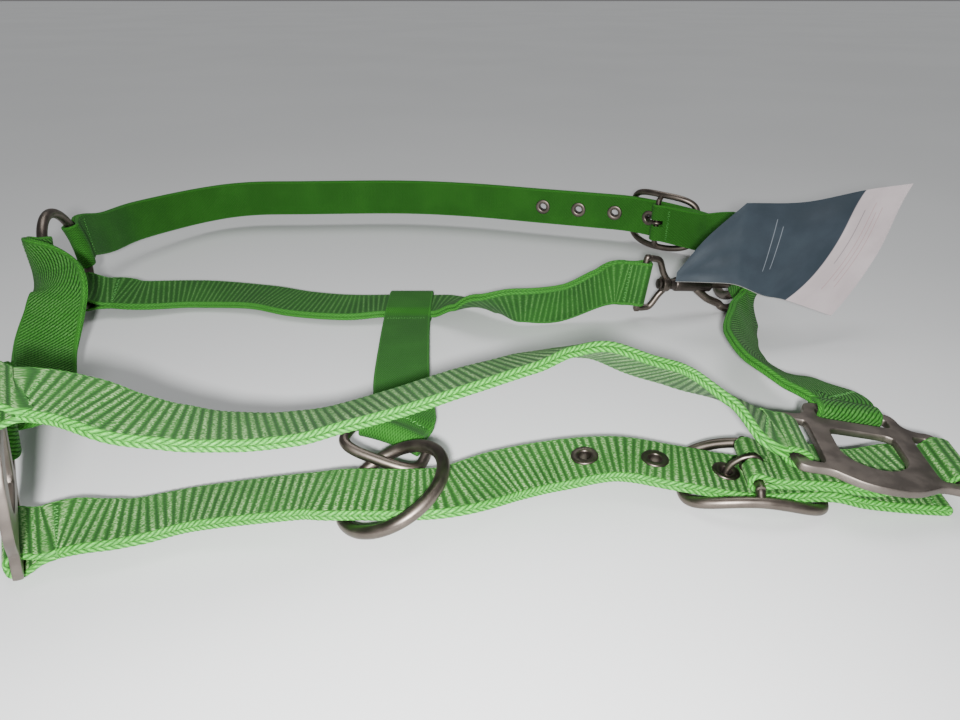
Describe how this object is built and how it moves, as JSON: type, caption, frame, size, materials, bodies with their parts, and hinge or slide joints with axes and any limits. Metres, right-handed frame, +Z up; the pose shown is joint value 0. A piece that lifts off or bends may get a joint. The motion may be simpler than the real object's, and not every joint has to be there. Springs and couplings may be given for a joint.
{
  "type": "head halter",
  "caption": "Nylon stable halter for a horse: webbing straps with ring, cheek plate, buckle and bolt snap hardware, laid out flat.",
  "frame": {"origin": "on the resting surface under the middle of the laid-out halter", "axes": "+X to the right across the halter, +Y from the nose end towards the crown, +Z up"},
  "size_m": [0.4712, 0.3954, 0.0751],
  "materials": {
    "webbing": "two-ply ribbed nylon webbing, bright green",
    "hardware": "satin gunmetal plating",
    "card": "printed card, dark navy with a pale strip"
  },
  "bodies": {
    "halter": {"crown_strap": "webbing", "crown_billet": "webbing", "throat_strap": "webbing", "connector_strap": "webbing", "chin_strap": "webbing", "chin_billet": "webbing", "noseband": "webbing", "left_cheek_strap": "webbing", "right_cheek_strap": "webbing", "crown_strap_eyelet_1": "hardware", "crown_strap_eyelet_2": "hardware", "crown_strap_eyelet_3": "hardware", "crown_strap_eyelet_4": "hardware", "chin_strap_eyelet_1": "hardware", "chin_strap_eyelet_2": "hardware", "chin_strap_eyelet_3": "hardware", "left_cheek_plate": "hardware", "right_cheek_plate": "hardware", "crown_buckle_frame": "hardware", "chin_buckle_frame": "hardware", "snap_eye": "hardware", "hang_tag": "card"},
    "left_ring": {"left_upper_ring": "hardware"},
    "right_ring": {"right_upper_ring": "hardware"},
    "loop": {"connector_loop": "hardware"},
    "lead_ring": {"lead_ring": "hardware"},
    "crown_tongue": {"crown_buckle_tongue": "hardware"},
    "chin_tongue": {"chin_buckle_tongue": "hardware"},
    "snap": {"snap_hook": "hardware"},
    "bolt": {"snap_bolt": "hardware"}
  },
  "joints": [
    {"name": "left_ring_turn", "type": "hinge", "parent": "halter", "child": "left_ring", "pos_m": [-0.2225, 0.02057, 0.0334], "axis": [0.9691, 0.1978, 0.1472], "continuous": true},
    {"name": "right_ring_turn", "type": "hinge", "parent": "halter", "child": "right_ring", "pos_m": [0.1575, 0.03857, 0.0309], "axis": [0.9149, -0.0458, -0.401], "continuous": true},
    {"name": "loop_swing", "type": "hinge", "parent": "halter", "child": "loop", "pos_m": [-0.0288, -0.11928, 0.0122], "axis": [0.941, -0.229, -0.249], "range_deg": [-0.5, 2]},
    {"name": "lead_ring_turn", "type": "hinge", "parent": "loop", "child": "lead_ring", "pos_m": [-0.0259, -0.15153, 0.0112], "axis": [-0.4247, -0.0642, 0.9031], "continuous": true},
    {"name": "crown_tongue_lift", "type": "hinge", "parent": "halter", "child": "crown_tongue", "pos_m": [0.1285, 0.13157, 0.0209], "axis": [0, 0, 1], "range_deg": [-5, 0]},
    {"name": "chin_tongue_lift", "type": "hinge", "parent": "halter", "child": "chin_tongue", "pos_m": [0.1065, -0.13843, 0.0118], "axis": [0.1, 0.995, 0], "range_deg": [0, 6]},
    {"name": "snap_swivel", "type": "hinge", "parent": "halter", "child": "snap", "pos_m": [0.0955, 0.01757, 0.0209], "axis": [0.965, 0.2362, -0.1135], "range_deg": [-12, 12]},
    {"name": "bolt_slide", "type": "slide", "parent": "snap", "child": "bolt", "axis": [-0.965, -0.2362, 0.1135], "range_m": [0, 0.007], "stiffness_N_per_m": 120, "springref_m": -0.004}
  ]
}
